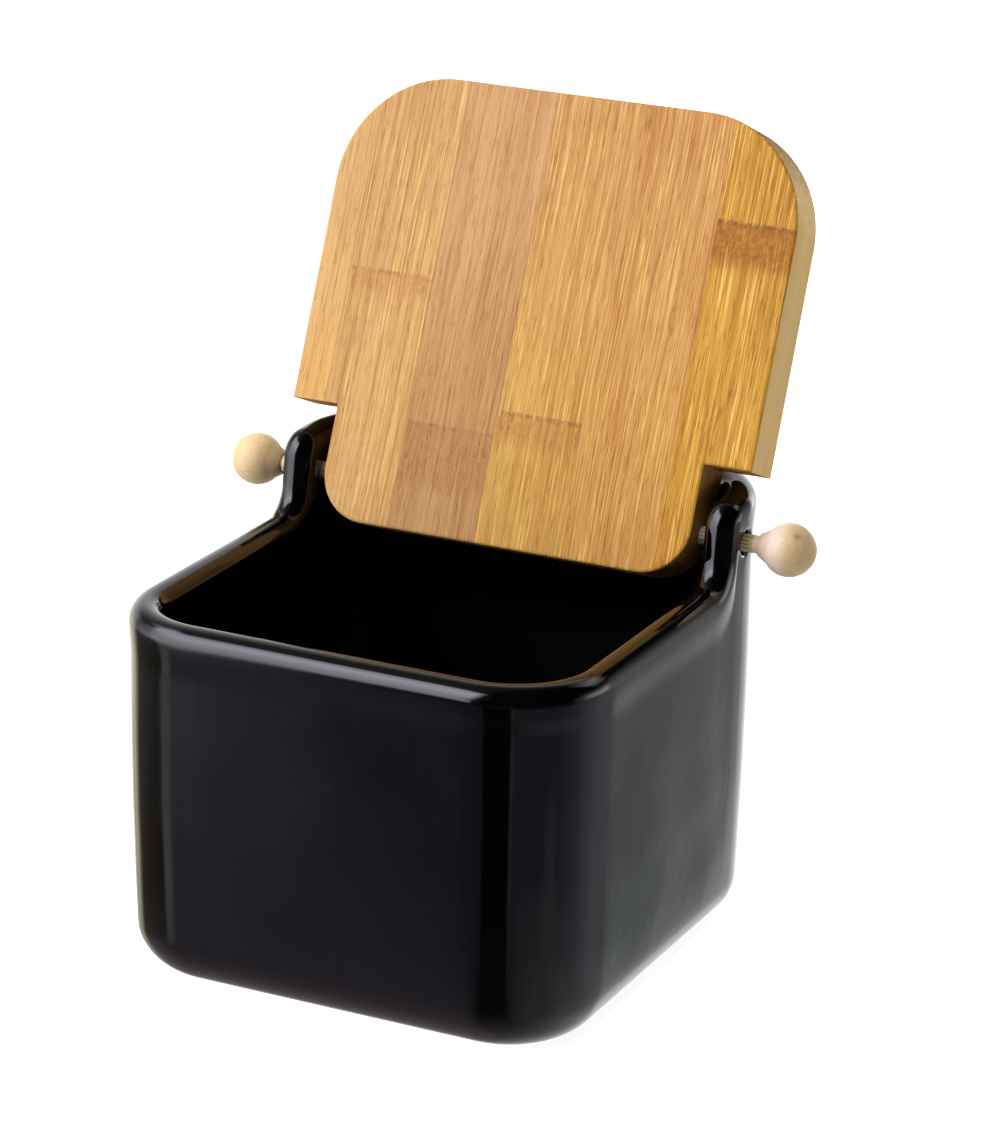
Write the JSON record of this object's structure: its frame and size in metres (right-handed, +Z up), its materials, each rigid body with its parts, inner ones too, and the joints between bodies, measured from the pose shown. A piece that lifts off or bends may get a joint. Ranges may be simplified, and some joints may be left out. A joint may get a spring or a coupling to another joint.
{
  "type": "sugar bowl",
  "caption": "Square glazed ceramic sugar bowl with a raised back wall and a bamboo lid that swings up on wooden dowels capped with ball knobs.",
  "frame": {"origin": "middle of the flat underside of the bowl, on the surface it stands on", "axes": "+Z up; -Y is the open front of the bowl, +Y its raised back wall; the hinge axis runs along X, +X to the right of someone facing the front"},
  "size_m": [0.1392, 0.1277, 0.1717],
  "materials": {
    "glazed_ceramic": "glossy black glaze",
    "bamboo": "sanded and lightly oiled laminated bamboo",
    "dowel_wood": "bare fluted dowel",
    "knob_wood": "turned and sanded beech"
  },
  "bodies": {
    "bowl": {"bowl": "glazed_ceramic"},
    "lid": {"lid": "bamboo", "left_pivot_dowel": "dowel_wood", "right_pivot_dowel": "dowel_wood", "left_knob": "knob_wood", "right_knob": "knob_wood"}
  },
  "joints": [
    {"name": "lid_hinge", "type": "hinge", "parent": "bowl", "child": "lid", "pos_m": [0, 0.0333, 0.0877], "axis": [1, 0, 0], "range_deg": [0, 113]}
  ]
}
